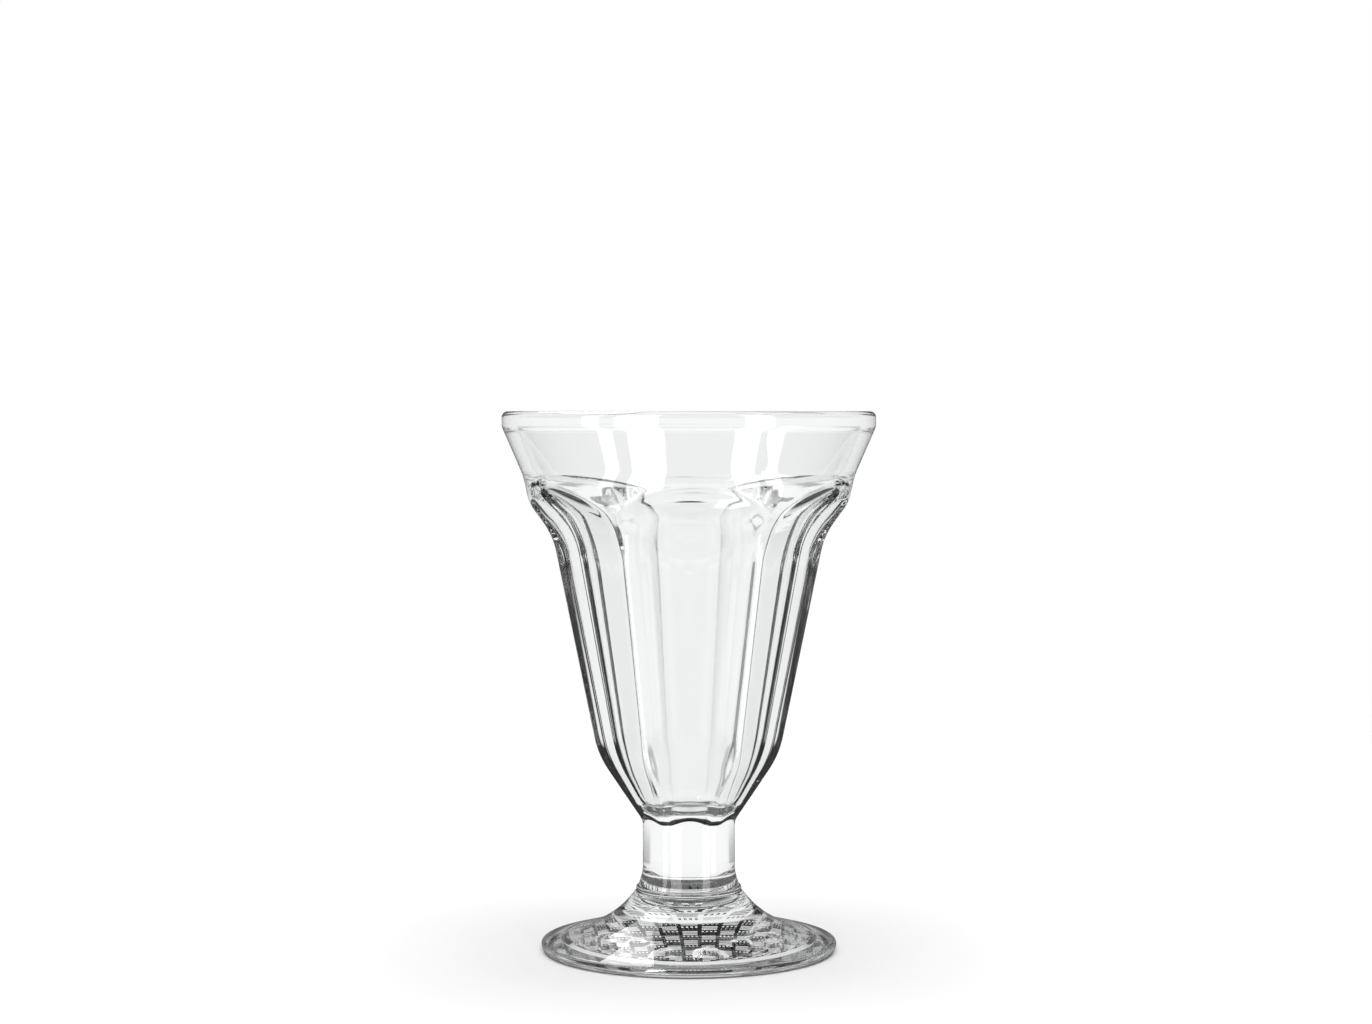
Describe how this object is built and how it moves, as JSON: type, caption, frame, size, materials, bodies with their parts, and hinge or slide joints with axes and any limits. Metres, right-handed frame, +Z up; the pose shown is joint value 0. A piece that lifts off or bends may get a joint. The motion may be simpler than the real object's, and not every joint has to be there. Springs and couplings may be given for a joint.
{
  "type": "soda fountain glass",
  "caption": "Clear pressed-glass soda fountain glass: flared round rim over a tapering panelled bowl with arched panel tops, on a short solid stem and a wide coved foot.",
  "frame": {"origin": "centre of the circle that the foot stands on, at table height", "axes": "+Z up along the glass's axis; a panel of the bowl faces -Y"},
  "size_m": [0.087, 0.087, 0.126],
  "materials": {
    "bowl_glass": "clear, fire-polished",
    "stem_glass": "clear, fire-polished",
    "ring_glass": "clear, fire-polished",
    "foot_glass": "clear, fire-polished above, pressed basketweave below"
  },
  "bodies": {
    "root": {"bowl": "bowl_glass", "stem": "stem_glass", "joint_ring": "ring_glass", "foot": "foot_glass"}
  },
  "joints": []
}
